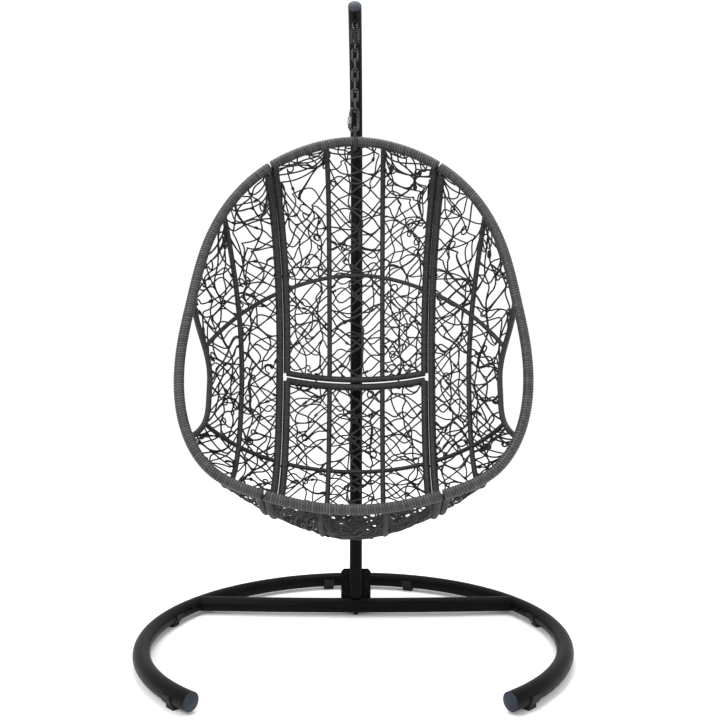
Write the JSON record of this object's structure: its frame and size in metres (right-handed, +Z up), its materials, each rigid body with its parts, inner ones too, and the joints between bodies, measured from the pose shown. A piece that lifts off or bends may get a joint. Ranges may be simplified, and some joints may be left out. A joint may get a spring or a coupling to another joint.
{
  "type": "hanging egg chair",
  "caption": "Free-standing hanging egg chair: open wicker basket on a drawbar spring, chain and snap hook, hung from an arched mast on an open ring base.",
  "frame": {"origin": "on the floor, at the middle of the object's bounding box", "axes": "+Z up, -Y the open front that the sitter faces, +X to the right seen from the front"},
  "size_m": [1.278, 1.1376, 1.9805],
  "materials": {
    "stand_paint": "satin",
    "cap_plastic": "satin",
    "foot_rubber": "matte",
    "black_fastener": "satin",
    "hanger_steel": "satin",
    "bright_steel": "polished",
    "loop_steel": "satin",
    "basket_frame": "satin",
    "rim_wicker": "satin",
    "weave_wicker": "satin"
  },
  "bodies": {
    "stand": {"rear_arc": "stand_paint", "crossbar": "stand_paint", "spine_tube": "stand_paint", "front_arm_left": "stand_paint", "front_arm_right": "stand_paint", "arm_end_caps": "cap_plastic", "arm_joint_bolts": "black_fastener", "foot_pad_1": "foot_rubber", "foot_pad_2": "foot_rubber", "foot_pad_3": "foot_rubber", "foot_pad_4": "foot_rubber", "foot_pad_5": "foot_rubber", "foot_pad_6": "foot_rubber", "mast_lower": "stand_paint", "mast_upper": "stand_paint", "mast_joint_bolts": "black_fastener", "mast_end_cap": "cap_plastic", "mast_plate": "stand_paint", "mast_bracket": "stand_paint", "mast_saddle": "stand_paint", "mast_bolts": "black_fastener", "mast_nuts": "black_fastener", "saddle_bolt": "black_fastener", "hang_eye": "stand_paint"},
    "hanger_upper": {"drawbar_upper": "hanger_steel", "spring_coil": "hanger_steel"},
    "hanger_lower": {"drawbar_lower": "hanger_steel"},
    "chain": {"chain_link_1": "hanger_steel", "chain_link_2": "hanger_steel", "chain_link_3": "hanger_steel", "chain_link_4": "hanger_steel", "chain_link_5": "hanger_steel", "chain_link_6": "hanger_steel"},
    "hook": {"snap_hook": "hanger_steel", "gate_pin": "hanger_steel"},
    "gate": {"hook_gate": "hanger_steel", "hook_sleeve": "bright_steel"},
    "basket": {"hanging_loop": "loop_steel", "back_frame": "basket_frame", "seat_frame": "basket_frame", "wing_frame_left": "basket_frame", "wing_frame_right": "basket_frame", "back_rim_wrap": "rim_wicker", "seat_rim_wrap": "rim_wicker", "wing_rim_wrap_left": "rim_wicker", "wing_rim_wrap_right": "rim_wicker", "back_weave": "weave_wicker", "seat_weave": "weave_wicker", "wing_weave_left": "weave_wicker", "wing_weave_right": "weave_wicker", "panel_bolts": "black_fastener", "panel_nuts": "black_fastener"}
  },
  "joints": [
    {"name": "swing_fore_aft", "type": "hinge", "parent": "stand", "child": "hanger_upper", "pos_m": [0, 0.05585, 1.9218], "axis": [-1, 0, 0], "range_deg": [-0.5, 18]},
    {"name": "spring_bounce", "type": "slide", "parent": "hanger_upper", "child": "hanger_lower", "axis": [0, 0, -1], "range_m": [0, 0.016], "stiffness_N_per_m": 12000, "springref_m": -0.0155, "deforming": ["spring_coil"]},
    {"name": "chain_sway", "type": "hinge", "parent": "hanger_lower", "child": "chain", "pos_m": [0, 0.05585, 1.8302], "axis": [0, 1, 0], "range_deg": [-8, 8]},
    {"name": "hook_turn", "type": "hinge", "parent": "chain", "child": "hook", "pos_m": [0, 0.05585, 1.6468], "axis": [0, 0, 1], "range_deg": [-12, 12]},
    {"name": "basket_tilt", "type": "hinge", "parent": "hook", "child": "basket", "pos_m": [0, 0.05585, 1.578], "axis": [-1, 0, 0], "range_deg": [-0.4, 6]},
    {"name": "gate_open", "type": "hinge", "parent": "hook", "child": "gate", "pos_m": [-0.019, 0.05585, 1.5905], "axis": [0, 1, 0], "range_deg": [0, 18], "stiffness_Nm_per_rad": 0.3, "springref_deg": -14.32}
  ]
}
